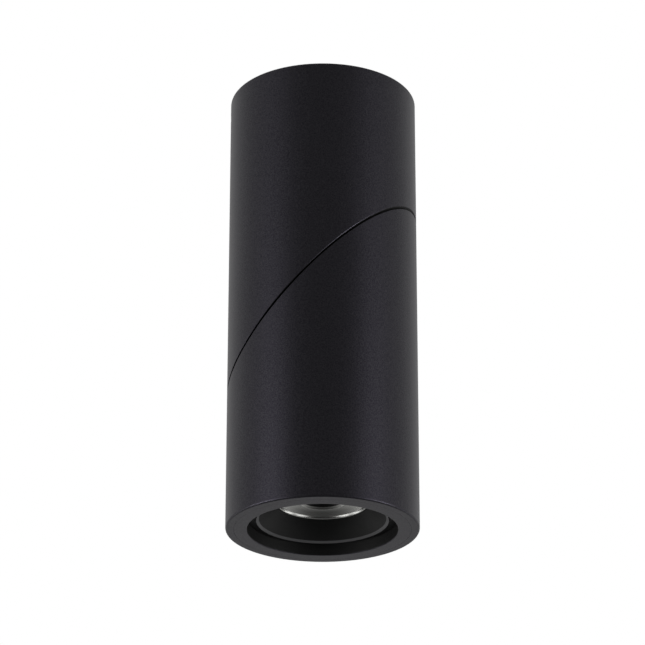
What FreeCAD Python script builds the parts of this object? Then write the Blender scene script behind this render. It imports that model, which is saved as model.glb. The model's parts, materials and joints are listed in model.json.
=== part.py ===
import FreeCAD, Part
import math
import os
import Sketcher

# A ceiling spotlight in the shape of one cylinder cut through at 45 degrees. The upper housing is fixed
# under the ceiling and holds the driver. The lower housing is the head with the lamp. The head turns on
# a hollow pivot square to the cut, so that half a turn swings the beam from straight down to level.
# Millimetres and degrees. The origin is the middle of the ceiling face, +Z is up, the light hangs down
# along -Z, and the cut rises towards +X.

SIZES = {
    # Whole light
    "body_radius": 35.0,
    "overall_height": 171.5,
    "seam_height": 86.75,
    "seam_tilt": 45.0,
    "seam_gap": 0.7,
    "housing_wall": 3.0,
    "end_wall": 4.0,
    "rim_chamfer": 0.4,
    "seam_chamfer": 0.15,
    "press_gap": 0.05,
    "running_gap": 0.05,
    "overrun": 2.0,
    # Turning stop: a pin in the head runs in a round groove of the upper housing
    "turn_limit": 170.0,
    "turn_spare": 0.5,
    "stop_circle_margin": 11.0,
    "stop_pin_radius": 1.5,
    "stop_pin_depth": 3.0,
    "stop_pin_reach": 1.7,
    "stop_groove_play": 0.3,
    "stop_groove_depth": 2.2,
    # Pivot
    "pivot_radius": 5.0,
    "pivot_bore_radius": 3.5,
    "pivot_flange_radius": 8.0,
    "pivot_flange_thickness": 1.5,
    "pivot_thread_spare": 1.5,
    "bush_radius": 7.0,
    "bush_flange_radius": 10.0,
    "bush_flange_thickness": 1.5,
    "thrust_washer_radius": 10.0,
    "thrust_washer_thickness": 1.2,
    "spring_radius": 9.0,
    "spring_thickness": 0.6,
    "spring_height": 1.4,
    "nut_corner_radius": 9.8,
    "nut_thickness": 3.5,
    "lock_washer_radius": 9.0,
    "lock_washer_thickness": 1.0,
    "friction_disc_margin": 4.0,
    # Ceiling plate
    "plate_thickness": 2.0,
    "plate_skirt_depth": 10.0,
    "plate_skirt_wall": 2.0,
    "slot_margin": 9.95,
    "slot_width": 4.6,
    "slot_length": 12.0,
    "grub_screw_drop": 6.0,
    "grub_screw_radius": 2.0,
    "grub_screw_length": 4.2,
    "grub_screw_inset": 0.4,
    "grub_screw_turn": 15.0,
    "grub_socket_radius": 1.15,
    "grub_socket_depth": 2.0,
    # Cable grommet
    "grommet_radius": 5.5,
    "grommet_bore_radius": 4.0,
    "grommet_flange_radius": 7.0,
    "grommet_flange_thickness": 1.5,
    # Small screws, all of one size
    "screw_radius": 1.5,
    "screw_head_radius": 2.75,
    "screw_head_depth": 2.0,
    "screw_socket_radius": 1.15,
    "screw_socket_depth": 1.2,
    "screw_clearance": 0.1,
    # Driver and its bracket
    "bracket_thickness": 1.2,
    "bracket_width": 22.0,
    "bracket_margin": 2.9,
    "bracket_grommet_gap": 2.0,
    "bracket_end_spare": 1.0,
    "bracket_screw_step": 8.0,
    "bracket_screw_spacing": 10.0,
    "driver_lid_depth": 5.0,
    "driver_width": 34.0,
    "driver_pivot_gap": 2.1,
    "driver_drop": 12.0,
    "driver_outlet_margin": 3.15,
    "driver_corner_radius": 2.0,
    "driver_ear_height": 6.0,
    "driver_ear_width": 10.0,
    "driver_ear_thickness": 2.0,
    "driver_hole_depth": 2.0,
    # Terminal block
    "terminal_margin": 5.9,
    "terminal_grommet_gap": 1.05,
    "terminal_width": 24.0,
    "terminal_height": 14.0,
    "terminal_pitch": 8.0,
    "terminal_ear_length": 5.5,
    "terminal_ear_width": 6.0,
    "terminal_ear_height": 3.0,
    "terminal_entry_radius": 1.4,
    "terminal_upper_entry_drop": 3.5,
    "terminal_lower_entry_drop": 8.0,
    "insert_margin": 2.5,
    "insert_width": 5.0,
    "insert_roof": 1.5,
    "insert_recess": 0.5,
    "terminal_screw_radius": 1.65,
    "terminal_screw_length": 3.9,
    # Earth point
    "earth_screw_offset": 8.0,
    "earth_screw_margin": 5.95,
    "eyelet_radius": 3.2,
    "eyelet_thickness": 0.8,
    "eyelet_barrel_radius": 1.7,
    "eyelet_barrel_length": 4.0,
    "eyelet_overlap": 0.2,
    # Leads
    "lead_radius": 1.1,
    "lead_bend_radius": 3.0,
    "lead_insertion": 2.0,
    "driver_lead_spacing": 8.0,
    "lead_clear_drop": 8.0,
    "lead_run_out": 4.0,
    "lead_run_back": 8.0,
    "earth_lead_run": 5.0,
    "lamp_lead_radius": 1.8,
    "lamp_lead_bend_radius": 7.0,
    "lamp_lead_split": 0.3,
    "lamp_lead_offset": 14.0,
    # Front end, measured up from the lit end
    "front_ring_width": 4.75,
    "aperture_chamfer": 0.3,
    "front_ring_height": 4.5,
    "baffle_flange_height": 2.0,
    "baffle_rim_inset": 3.33,
    "baffle_rim_height": 3.43,
    "baffle_rim_slant": 0.75,
    "baffle_rim_width": 0.87,
    "baffle_step_height": 4.06,
    "baffle_cone_width": 6.0,
    "baffle_mouth_height": 10.36,
    "baffle_mouth_thickness": 0.54,
    "baffle_wall": 1.6,
    "sleeve_wall": 1.6,
    # Reflector: a flared lip, a shallow dish with a bead round its hole, and a neck up to the lamp
    "reflector_lip_inset": 0.64,
    "reflector_lip_drop": 0.69,
    "reflector_lip_width": 0.86,
    "reflector_lip_rise": 0.77,
    "reflector_lip_wall": 0.4,
    "reflector_flange_width": 2.04,
    "reflector_dish_rise": 0.5,
    "reflector_bead_width": 0.3,
    "reflector_bead_rise": 0.1,
    "reflector_bead_margin": 1.7,
    "reflector_neck_margin": 1.0,
    "reflector_wall": 0.8,
    # Lamp: the reflector and the heat sink share the height between the baffle and the shoulder
    "shoulder_wall": 5.0,
    "shoulder_width": 2.0,
    "reflector_height_share": 0.5376,
    "heat_sink_base": 5.0,
    "heat_sink_core_radius": 7.0,
    "fin_count": 16,
    "fin_thickness": 1.4,
    "lead_hole_radius": 2.4,
    "holder_gap": 5.35,
    "holder_height": 4.5,
    "holder_screw_grip": 4.0,
    "board_width": 19.0,
    "board_thickness": 1.5,
    "pad_thickness": 0.3,
    "emitter_radius": 6.2,
    "emitter_thickness": 0.4,
}


# Points closer than this are one point
SAME_PLACE = 1e-6


class Size:
    """A number together with the sheet formula that gives it."""

    def __init__(self, formula, value):
        self.formula = formula
        self.value = value

    def __float__(self):
        return float(self.value)

    def __add__(self, other):
        other = as_size(other)
        return Size(f"({self.formula} + {other.formula})", self.value + other.value)

    def __sub__(self, other):
        other = as_size(other)
        return Size(f"({self.formula} - {other.formula})", self.value - other.value)

    def __mul__(self, other):
        other = as_size(other)
        return Size(f"({self.formula} * {other.formula})", self.value * other.value)

    def __truediv__(self, other):
        other = as_size(other)
        return Size(f"({self.formula} / {other.formula})", self.value / other.value)

    def __neg__(self):
        return Size(f"(0 - {self.formula})", -self.value)

    def __rsub__(self, other):
        return as_size(other) - self

    def __rtruediv__(self, other):
        return as_size(other) / self

    __radd__ = __add__
    __rmul__ = __mul__


def as_size(number):
    if isinstance(number, Size):
        return number
    return Size(repr(number), number)


def sine(angle):
    return Size(f"sin({angle.formula})", math.sin(math.radians(angle.value)))


def cosine(angle):
    return Size(f"cos({angle.formula})", math.cos(math.radians(angle.value)))


class SizeSheet:
    """The spreadsheet of driving dimensions, one aliased cell for each."""

    def __init__(self, doc, sizes):
        sheet = doc.addObject("Spreadsheet::Sheet", "sizes")
        for row, (name, value) in enumerate(sizes.items(), 1):
            sheet.set(f"A{row}", name)
            sheet.set(f"B{row}", str(value))
            sheet.setAlias(f"B{row}", name)
        doc.recompute()
        for name in sizes:
            setattr(self, name, Size(f"sizes.{name}", float(sheet.get(name))))


doc = FreeCAD.newDocument("cylinder_spotlight")
s = SizeSheet(doc, SIZES)
nodes = []

# Sizes that several pieces share

housing_bore = s.body_radius - s.housing_wall
seam_drop = s.overall_height - s.seam_height
half_gap = s.seam_gap / 2
upper_inner_face = half_gap + s.end_wall
lower_inner_face = -upper_inner_face
cut_span = s.overall_height * 2
plate_radius = housing_bore - s.press_gap
skirt_bore = plate_radius - s.plate_skirt_wall
screw_hole_radius = s.screw_radius + s.screw_clearance
insert_radius = housing_bore - s.press_gap
stop_circle_radius = housing_bore - s.stop_circle_margin
front_z = -s.overall_height
shoulder_height = s.seam_height - housing_bore * sine(s.seam_tilt) / cosine(s.seam_tilt) - s.shoulder_wall
reflector_low = s.baffle_mouth_height + s.baffle_mouth_thickness
lamp_room = shoulder_height - reflector_low - s.holder_height
reflector_high = reflector_low + lamp_room * s.reflector_height_share
heat_sink_foot = reflector_high + s.holder_height
aperture_radius = insert_radius - s.front_ring_width
baffle_rim_radius = aperture_radius - s.baffle_rim_inset
baffle_step_radius = baffle_rim_radius - s.baffle_rim_width
baffle_mouth_radius = baffle_step_radius - s.baffle_cone_width
reflector_lip_radius = baffle_mouth_radius - s.reflector_lip_inset
reflector_neck_radius = s.emitter_radius + s.reflector_neck_margin
holder_radius = insert_radius - s.sleeve_wall - s.holder_gap
holder_screw_place = (holder_radius + reflector_neck_radius + s.reflector_wall) / 2

# Heights of the pivot's pieces above the middle of the cut, square to it

thrust_washer_low = upper_inner_face + s.bush_flange_thickness + s.running_gap
spring_low = thrust_washer_low + s.thrust_washer_thickness
upper_nut_low = spring_low + s.spring_height
pivot_top = upper_nut_low + s.nut_thickness + s.pivot_thread_spare


# Helpers

def keep(piece, label):
    """Gives a finished piece its own label and puts it on the list of nodes."""
    piece.Label = label
    nodes.append(piece)
    return piece


def bind(piece, **sizes):
    """Ties properties of an object to the sheet."""
    for prop, size in sizes.items():
        size = as_size(size)
        setattr(piece, prop, size.value)
        piece.setExpression(prop, size.formula)
    return piece


def place(piece, x=0, y=0, z=0, axis=(0, 0, 1), angle=0):
    """Moves a piece to a point that the sheet gives, turned about an axis through that point."""
    base = FreeCAD.Vector(float(x), float(y), float(z))
    piece.Placement = FreeCAD.Placement(base, FreeCAD.Rotation(FreeCAD.Vector(*axis), float(angle)))
    paths = {"Base.x": x, "Base.y": y, "Base.z": z, "Rotation.Angle": angle}
    for path, size in paths.items():
        if isinstance(size, Size):
            piece.setExpression(f"Placement.{path}", size.formula)
    return piece


def place_on_seam(piece, along=0, across=0, up=0):
    """Moves a piece into the seam's frame: its Z is square to the cut, its X runs up the cut."""
    rise = sine(s.seam_tilt)
    run = cosine(s.seam_tilt)
    x = along * run - up * rise
    z = along * rise + up * run - seam_drop
    return place(piece, x, across, z, (0, -1, 0), s.seam_tilt)


def cylinder(radius, height, name="cylinder"):
    return bind(doc.addObject("Part::Cylinder", name), Radius=radius, Height=height)


def block(length, width, height, name="block"):
    return bind(doc.addObject("Part::Box", name), Length=length, Width=width, Height=height)


def hexagon_rod(corner_radius, height):
    rod = bind(doc.addObject("Part::Prism", "hexagon_rod"), Circumradius=corner_radius, Height=height)
    rod.Polygon = 6
    return rod


def cut(base, tools, name="cut"):
    """Takes the tools away from the base and makes sure that something was taken."""
    result = doc.addObject("Part::Cut", name)
    result.Base = base
    result.Tool = tools[0] if len(tools) == 1 else fuse(tools)
    doc.recompute()
    check_removed(base.Shape.Volume, result)
    return result


def fuse(pieces, name="fusion"):
    result = doc.addObject("Part::MultiFuse", name)
    result.Shapes = pieces
    return result


def common(base, tool, name="common"):
    result = doc.addObject("Part::Common", name)
    result.Base = base
    result.Tool = tool
    return result


def group(pieces, name="group"):
    result = doc.addObject("Part::Compound", name)
    result.Links = pieces
    return result


def check_removed(volume_before, piece):
    if not piece.Shape.Volume < volume_before:
        raise RuntimeError(f"{piece.Name} cuts nothing")


def new_body(name):
    return doc.addObject("PartDesign::Body", name)


def new_sketch(body, plane, offset=None):
    """Starts a sketch on one of the body's own origin planes, or at an offset from it."""
    sketch = body.newObject("Sketcher::SketchObject", f"{body.Name}_sketch")
    support = next(item for item in body.Origin.OriginFeatures if item.Role == plane)
    sketch.AttachmentSupport = [(support, "")]
    sketch.MapMode = "FlatFace"
    if offset is not None:
        base = FreeCAD.Vector(0, 0, float(offset))
        sketch.AttachmentOffset = FreeCAD.Placement(base, FreeCAD.Rotation())
        sketch.setExpression("AttachmentOffset.Base.z", offset.formula)
    return sketch


def pin_down(sketch, geometry, vertex, x, y):
    """Fixes a point of the sketch at coordinates that the sheet gives."""
    for kind, size, axis in (("DistanceX", x, -2), ("DistanceY", y, -1)):
        if not isinstance(size, Size):
            sketch.addConstraint(Sketcher.Constraint("PointOnObject", geometry, vertex, axis))
            continue
        row = sketch.addConstraint(Sketcher.Constraint(kind, -1, 1, geometry, vertex, size.value))
        sketch.renameConstraint(row, f"{kind}_{row}")
        sketch.setExpression(f"Constraints.{kind}_{row}", size.formula)


def fix_radius(sketch, geometry, radius):
    row = sketch.addConstraint(Sketcher.Constraint("Radius", geometry, radius.value))
    sketch.renameConstraint(row, f"Radius_{row}")
    sketch.setExpression(f"Constraints.Radius_{row}", radius.formula)


def draw_outline(sketch, corners):
    """Closes a loop of straight sides through the corners."""
    sides = []
    for side, start in enumerate(corners):
        end = corners[(side + 1) % len(corners)]
        first = FreeCAD.Vector(float(start[0]), float(start[1]), 0)
        last = FreeCAD.Vector(float(end[0]), float(end[1]), 0)
        sides.append(sketch.addGeometry(Part.LineSegment(first, last)))
    for side, geometry in enumerate(sides):
        following = sides[(side + 1) % len(sides)]
        sketch.addConstraint(Sketcher.Constraint("Coincident", geometry, 2, following, 1))
        pin_down(sketch, geometry, 1, *corners[side])


def draw_circle(sketch, x, y, radius):
    centre = FreeCAD.Vector(float(x), float(y), 0)
    geometry = sketch.addGeometry(Part.Circle(centre, FreeCAD.Vector(0, 0, 1), radius.value))
    pin_down(sketch, geometry, 3, x, y)
    fix_radius(sketch, geometry, radius)


def draw_rectangle(sketch, left, right, low, high):
    draw_outline(sketch, [(left, low), (right, low), (right, high), (left, high)])


def draw_slot(sketch, x, y, width, length):
    """Adds a round-ended slot that runs along the sketch's Y axis."""
    reach = (length - width) / 2
    radius = width / 2
    right, left = float(x + radius), float(x - radius)
    top, low = float(y + reach), float(y - reach)
    sides = []
    for start, end in (((right, low), (right, top)), ((left, top), (left, low))):
        line = Part.LineSegment(FreeCAD.Vector(*start, 0), FreeCAD.Vector(*end, 0))
        sides.append(sketch.addGeometry(line))
    ends = []
    for centre_y, first_angle in ((y + reach, 0), (y - reach, math.pi)):
        centre = FreeCAD.Vector(float(x), float(centre_y), 0)
        circle = Part.Circle(centre, FreeCAD.Vector(0, 0, 1), radius.value)
        arc = sketch.addGeometry(Part.ArcOfCircle(circle, first_angle, first_angle + math.pi))
        pin_down(sketch, arc, 3, x, centre_y)
        fix_radius(sketch, arc, radius)
        ends.append(arc)
    right_side, left_side = sides
    upper_end, lower_end = ends
    for line, vertex, arc, arc_vertex in ((right_side, 2, upper_end, 1), (left_side, 1, upper_end, 2),
                                          (left_side, 2, lower_end, 1), (right_side, 1, lower_end, 2)):
        sketch.addConstraint(Sketcher.Constraint("Tangent", line, vertex, arc, arc_vertex))


def pad(body, sketch, length, symmetric=False, reverse=False):
    feature = body.newObject("PartDesign::Pad", f"{body.Name}_pad")
    feature.Profile = sketch
    feature.SideType = "Symmetric" if symmetric else "One side"
    feature.Reversed = reverse
    bind(feature, Length=length)
    doc.recompute()
    return feature


def pocket(body, sketch, depth=None, reverse=False):
    """Cuts the sketch's loops into the body, right through both ways where no depth is given."""
    volume_before = body.Shape.Volume
    feature = body.newObject("PartDesign::Pocket", f"{body.Name}_pocket")
    feature.Profile = sketch
    feature.Reversed = reverse
    if depth is None:
        feature.SideType = "Symmetric"
        feature.Type = "ThroughAll"
    else:
        bind(feature, Length=depth)
    doc.recompute()
    check_removed(volume_before, body)
    return feature


def turned(label, corners):
    """A piece of revolution about its own Z axis, from (radius, height) corners."""
    body = new_body(f"{label}_body")
    sketch = new_sketch(body, "XZ_Plane")
    draw_outline(sketch, corners)
    feature = body.newObject("PartDesign::Revolution", f"{label}_turning")
    feature.Profile = sketch
    feature.ReferenceAxis = (sketch, ["V_Axis"])
    feature.Angle = 360
    return body


def ring(label, inner, outer, low, high):
    return turned(label, [(inner, low), (outer, low), (outer, high), (inner, high)])


def soften(body, feature, radius, wanted):
    """Rounds the edges of the body's last feature that the test picks out."""
    names = [f"Edge{row}" for row, edge in enumerate(feature.Shape.Edges, 1) if wanted(edge)]
    fillet = body.newObject("PartDesign::Fillet", f"{body.Name}_fillet")
    fillet.Base = (feature, names)
    bind(fillet, Radius=radius)
    doc.recompute()
    return fillet


def chamfer_outer_edges(piece):
    """Breaks the edges of a round housing that lie on its outside, the level ones wider than the others."""
    rows = []
    closeness = s.seam_chamfer.value / 10
    for row, edge in enumerate(piece.Shape.Edges, 1):
        points = edge.discretize(9)
        on_outside = all(abs(math.hypot(p.x, p.y) - s.body_radius.value) < closeness for p in points)
        if on_outside and (edge.isClosed() or max(p.y for p in points) > min(p.y for p in points)):
            level = max(p.z for p in points) - min(p.z for p in points) < closeness
            chamfer = s.rim_chamfer.value if level else s.seam_chamfer.value
            rows.append((row, chamfer, chamfer))
    result = doc.addObject("Part::Chamfer", f"{piece.Name}_edges")
    result.Base = piece
    result.Edges = rows
    doc.recompute()
    check_removed(piece.Shape.Volume, result)
    return result


def screw(shank_length):
    """A socket screw with its head's seat at the origin and its head towards +Z."""
    shank = place(cylinder(s.screw_radius, shank_length), z=-shank_length)
    head = cylinder(s.screw_head_radius, s.screw_head_depth)
    socket = hexagon_rod(s.screw_socket_radius, s.screw_socket_depth + s.overrun)
    place(socket, z=s.screw_head_depth - s.screw_socket_depth)
    return cut(fuse([shank, head]), [socket], "screw")


def rounded_path(points, bend_radius):
    """Straight runs through the points, joined by tangent arcs."""
    edges = []
    start = points[0]
    for corner, following in zip(points[1:-1], points[2:]):
        arriving = (corner - start).normalize()
        leaving = (following - corner).normalize()
        half_turn = arriving.getAngle(leaving) / 2
        setback = bend_radius * math.tan(half_turn)
        first = corner - arriving * setback
        last = corner + leaving * setback
        inward = (leaving - arriving).normalize()
        middle = corner + inward * (bend_radius / math.cos(half_turn) - bend_radius)
        edges.append(Part.LineSegment(start, first).toShape())
        edges.append(Part.Arc(first, middle, last).toShape())
        start = last
    edges.append(Part.LineSegment(start, points[-1]).toShape())
    return Part.Wire(edges)


def lead(label, points, radius, bend_radius):
    """An insulated lead: a round section swept along straight runs and tangent arcs."""
    route = [FreeCAD.Vector(*[float(value) for value in point]) for point in points]
    path = rounded_path(route, float(bend_radius))
    circle = Part.Circle(route[0], route[1] - route[0], float(radius))
    section = Part.Wire([circle.toShape()])
    piece = doc.addObject("Part::Feature", f"{label}_sweep")
    piece.Shape = path.makePipeShell([section], True, False)
    share_made = piece.Shape.Volume / (math.pi * float(radius) ** 2 * path.Length)
    print(f"{label}: length {path.Length:.1f} mm, bends {float(bend_radius):.1f} mm, volume {share_made:.4f}")
    return keep(piece, label)


# Upper housing

def half_space(start, above):
    """A large block on one side of a plane square to the pivot."""
    piece = block(cut_span, cut_span, cut_span, "half_space")
    up = start if above else start - cut_span
    return place_on_seam(piece, along=-cut_span / 2, across=-cut_span / 2, up=up)


def pivot_hole(radius, low, high):
    return place_on_seam(cylinder(radius, high - low, "pivot_hole"), up=low)


def pivot_stack_top_z():
    """The height below which the nut and the end of the pivot stay."""
    return pivot_top * cosine(s.seam_tilt) + s.nut_corner_radius * sine(s.seam_tilt) - seam_drop


def stop_groove():
    """The round groove that the stop pin runs in, open everywhere but at the stop's web."""
    half_width = s.stop_pin_radius + s.stop_groove_play
    free_angle = (s.turn_limit + s.turn_spare) * 2
    web_angle = (360 - free_angle) / 2
    depth = s.stop_groove_depth + s.overrun
    low = half_gap - s.overrun
    outer = cylinder(stop_circle_radius + half_width, depth, "groove_outside")
    outer = bind(outer, Angle=free_angle)
    inner = cylinder(stop_circle_radius - half_width, depth, "groove_inside")
    sector = cut(outer, [inner], "groove_sector")
    place(sector, axis=(0, 0, 1), angle=web_angle)
    ends = []
    for side in (1, -1):
        end = cylinder(half_width, depth, "groove_end")
        x = stop_circle_radius * cosine(web_angle)
        y = stop_circle_radius * sine(web_angle) * side
        ends.append(place(end, x=x, y=y))
    return place_on_seam(fuse([sector, *ends], "stop_groove"), up=low)


def grub_screw_hole(side, start, end, radius):
    """A round rod along a grub screw's axis, between two distances from the light's axis."""
    angle = s.grub_screw_turn if side > 0 else s.grub_screw_turn + 180
    rod = place(cylinder(radius, end - start, "grub_rod"), x=start, axis=(0, 1, 0), angle=90)
    return place(group([rod]), z=-s.grub_screw_drop, angle=angle)


def upper_housing():
    outside = place(cylinder(s.body_radius, s.overall_height, "upper_outside"), z=-s.overall_height)
    shell = common(outside, half_space(half_gap, above=True), "upper_solid")
    hollow = place(cylinder(housing_bore, s.overall_height + s.overrun), z=-s.overall_height)
    cavity = common(hollow, half_space(upper_inner_face, above=True), "upper_cavity")
    tools = [
        cavity,
        pivot_hole(s.bush_radius + s.press_gap, half_gap - s.overrun, upper_inner_face + s.overrun),
        stop_groove(),
    ]
    for side in (1, -1):
        tools.append(grub_screw_hole(side, housing_bore - s.overrun, s.body_radius + s.overrun,
                                     s.grub_screw_radius + s.press_gap))
    housing = cut(shell, tools, "upper_housing_cut")
    keep(chamfer_outer_edges(housing), "upper_housing")


# Ceiling plate and what is screwed to it

def ceiling_plate():
    body = turned("ceiling_plate", [
        (s.grommet_radius + s.press_gap, 0),
        (plate_radius, 0),
        (plate_radius, -s.plate_skirt_depth),
        (skirt_bore, -s.plate_skirt_depth),
        (skirt_bore, -s.plate_thickness),
        (s.grommet_radius + s.press_gap, -s.plate_thickness),
    ])
    doc.recompute()
    holes = new_sketch(body, "XY_Plane")
    for side in (1, -1):
        draw_slot(holes, 0, (plate_radius - s.slot_margin) * side, s.slot_width, s.slot_length)
    for x, y in bracket_screw_spots() + terminal_screw_spots() + [earth_screw_spot()]:
        draw_circle(holes, x, y, screw_hole_radius)
    pocket(body, holes)
    tools = [grub_screw_hole(side, skirt_bore - s.overrun, plate_radius + s.overrun,
                             s.grub_screw_radius + s.press_gap) for side in (1, -1)]
    keep(cut(body, tools), "ceiling_plate")


def cable_grommet():
    flange_low = -s.plate_thickness - s.grommet_flange_thickness
    keep(turned("cable_grommet", [
        (s.grommet_bore_radius, 0),
        (s.grommet_radius, 0),
        (s.grommet_radius, -s.plate_thickness),
        (s.grommet_flange_radius, -s.plate_thickness),
        (s.grommet_flange_radius, flange_low),
        (s.grommet_bore_radius, flange_low),
    ]), "cable_grommet")


def housing_grub_screws():
    screws = []
    end = s.body_radius - s.grub_screw_inset
    start = end - s.grub_screw_length
    for side in (1, -1):
        body = grub_screw_hole(side, start, end, s.grub_screw_radius)
        socket = hexagon_rod(s.grub_socket_radius, s.grub_socket_depth + s.overrun)
        place(socket, x=end - s.grub_socket_depth, axis=(0, 1, 0), angle=90)
        angle = s.grub_screw_turn if side > 0 else s.grub_screw_turn + 180
        turned_socket = place(group([socket]), z=-s.grub_screw_drop, angle=angle)
        screws.append(cut(body, [turned_socket], "grub_screw"))
    keep(group(screws), "housing_grub_screws")


# Driver bracket and driver: bracket_x is the outside of the upright leaf. The driver reaches from the leaf
# past the lamp lead, and from below the ceiling plate down to the pivot.

bracket_x = -(skirt_bore - s.bracket_margin)
driver_x = bracket_x + s.bracket_thickness
flange_low = -s.plate_thickness - s.bracket_thickness
bracket_flange_end = -s.grommet_flange_radius - s.bracket_grommet_gap
driver_outlet_x = -s.lamp_lead_offset
driver_depth = driver_outlet_x + s.driver_outlet_margin - driver_x
driver_half_width = s.driver_width / 2
driver_low = pivot_stack_top_z() + s.driver_pivot_gap
driver_height = -s.driver_drop - driver_low
ear_screw_heights = (
    -s.driver_drop + s.driver_ear_height / 2,
    driver_low - s.driver_ear_height / 2,
)


def bracket_screw_spots():
    x = bracket_x + s.bracket_screw_step
    return [(x, s.bracket_screw_spacing / 2 * side) for side in (1, -1)]


def driver_bracket():
    low = driver_low - s.driver_ear_height - s.bracket_end_spare
    body = new_body("driver_bracket_body")
    profile = new_sketch(body, "XZ_Plane")
    draw_outline(profile, [
        (bracket_x, -s.plate_thickness),
        (bracket_x, low),
        (driver_x, low),
        (driver_x, flange_low),
        (bracket_flange_end, flange_low),
        (bracket_flange_end, -s.plate_thickness),
    ])
    pad(body, profile, s.bracket_width, symmetric=True)
    flange_holes = new_sketch(body, "XY_Plane", -s.plate_thickness)
    for x, y in bracket_screw_spots():
        draw_circle(flange_holes, x, y, screw_hole_radius)
    pocket(body, flange_holes, s.bracket_thickness)
    leaf_holes = new_sketch(body, "YZ_Plane", driver_x)
    for z in ear_screw_heights:
        draw_circle(leaf_holes, 0, z, screw_hole_radius)
    pocket(body, leaf_holes, s.bracket_thickness)
    keep(body, "driver_bracket")


def bracket_screws():
    shank = s.bracket_thickness + s.plate_thickness
    screws = [place(screw(shank), x, y, flange_low, (1, 0, 0), 180) for x, y in bracket_screw_spots()]
    keep(group(screws), "bracket_screws")


def driver_case():
    body = new_body("driver_case_body")
    plan = new_sketch(body, "XY_Plane", driver_low)
    draw_rectangle(plan, driver_x, driver_x + driver_depth, -driver_half_width, driver_half_width)
    box = pad(body, plan, driver_height)
    soften(body, box, s.driver_corner_radius, lambda edge: is_upright_at(edge, driver_x))
    for low in (-s.driver_drop, driver_low - s.driver_ear_height):
        ear = new_sketch(body, "YZ_Plane", driver_x)
        side = s.driver_ear_width / 2
        draw_rectangle(ear, -side, side, low, low + s.driver_ear_height)
        pad(body, ear, s.driver_ear_thickness)
    holes = new_sketch(body, "YZ_Plane", driver_x + s.driver_ear_thickness)
    for z in ear_screw_heights:
        draw_circle(holes, 0, z, screw_hole_radius)
    pocket(body, holes, s.driver_ear_thickness)
    inlets = new_sketch(body, "XY_Plane", -s.driver_drop)
    for side in (1, -1):
        draw_circle(inlets, driver_outlet_x, s.driver_lead_spacing / 2 * side, s.lead_radius + s.press_gap)
    pocket(body, inlets, s.driver_hole_depth)
    outlet = new_sketch(body, "XY_Plane", driver_low)
    draw_circle(outlet, driver_outlet_x, 0, s.lamp_lead_radius + s.press_gap)
    pocket(body, outlet, s.driver_hole_depth, reverse=True)
    keep(body, "driver_case")


def is_upright_at(edge, x):
    ends = [vertex.Point for vertex in edge.Vertexes]
    straight_up = len(ends) == 2 and (ends[0] - ends[1]).cross(FreeCAD.Vector(0, 0, 1)).Length < SAME_PLACE
    return straight_up and abs(ends[0].x - x.value) < SAME_PLACE


def driver_lid():
    body = new_body("driver_lid_body")
    plan = new_sketch(body, "XY_Plane", driver_low)
    lid_x = driver_x + driver_depth
    draw_rectangle(plan, lid_x, lid_x + s.driver_lid_depth, -driver_half_width, driver_half_width)
    box = pad(body, plan, driver_height)
    front_x = lid_x + s.driver_lid_depth
    soften(body, box, s.driver_corner_radius, lambda edge: is_upright_at(edge, front_x))
    keep(body, "driver_lid")


def driver_screws():
    seat_x = driver_x + s.driver_ear_thickness
    shank = s.driver_ear_thickness + s.bracket_thickness
    screws = [place(screw(shank), seat_x, 0, z, (0, 1, 0), 90) for z in ear_screw_heights]
    keep(group(screws), "driver_screws")


# Terminal block: terminal_x is its inner face, which the leads enter

terminal_outside_x = skirt_bore - s.terminal_margin
terminal_x = s.grommet_flange_radius + s.terminal_grommet_gap
terminal_depth = terminal_outside_x - terminal_x
terminal_top = -s.plate_thickness
terminal_low = terminal_top - s.terminal_height
insert_x = terminal_x + s.insert_margin
insert_depth = terminal_depth - s.insert_margin * 2
insert_top = terminal_top - s.insert_roof
insert_low = terminal_low + s.insert_recess
terminal_middle_x = terminal_x + terminal_depth / 2
upper_entry_z = terminal_top - s.terminal_upper_entry_drop
lower_entry_z = terminal_top - s.terminal_lower_entry_drop
pole_places = (-s.terminal_pitch, 0, s.terminal_pitch)


def terminal_screw_spots():
    y = s.terminal_width / 2 + s.terminal_ear_length / 2
    return [(terminal_middle_x, y * side) for side in (1, -1)]


def terminal_block():
    half = s.terminal_width / 2
    reach = half + s.terminal_ear_length
    side = s.terminal_ear_width / 2
    body = new_body("terminal_block_body")
    plan = new_sketch(body, "XY_Plane", terminal_top)
    draw_rectangle(plan, terminal_x, terminal_outside_x, -half, half)
    pad(body, plan, s.terminal_height, reverse=True)
    ears = new_sketch(body, "XY_Plane", terminal_top)
    draw_rectangle(ears, terminal_middle_x - side, terminal_middle_x + side, -reach, reach)
    pad(body, ears, s.terminal_ear_height, reverse=True)
    wells = new_sketch(body, "XY_Plane", terminal_low)
    for y in pole_places:
        near = y - s.insert_width / 2 - s.press_gap
        far = y + s.insert_width / 2 + s.press_gap
        x_end = insert_x + insert_depth + s.press_gap
        draw_rectangle(wells, insert_x - s.press_gap, x_end, near, far)
    pocket(body, wells, insert_top - terminal_low + s.press_gap, reverse=True)
    entries = new_sketch(body, "YZ_Plane", terminal_x)
    for y in pole_places:
        for z in (upper_entry_z, lower_entry_z):
            draw_circle(entries, y, z, s.terminal_entry_radius)
    pocket(body, entries, insert_x - terminal_x, reverse=True)
    holes = new_sketch(body, "XY_Plane", terminal_top)
    for x, y in terminal_screw_spots():
        draw_circle(holes, x, y, screw_hole_radius)
    pocket(body, holes, s.terminal_ear_height)
    keep(body, "terminal_block")


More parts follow.
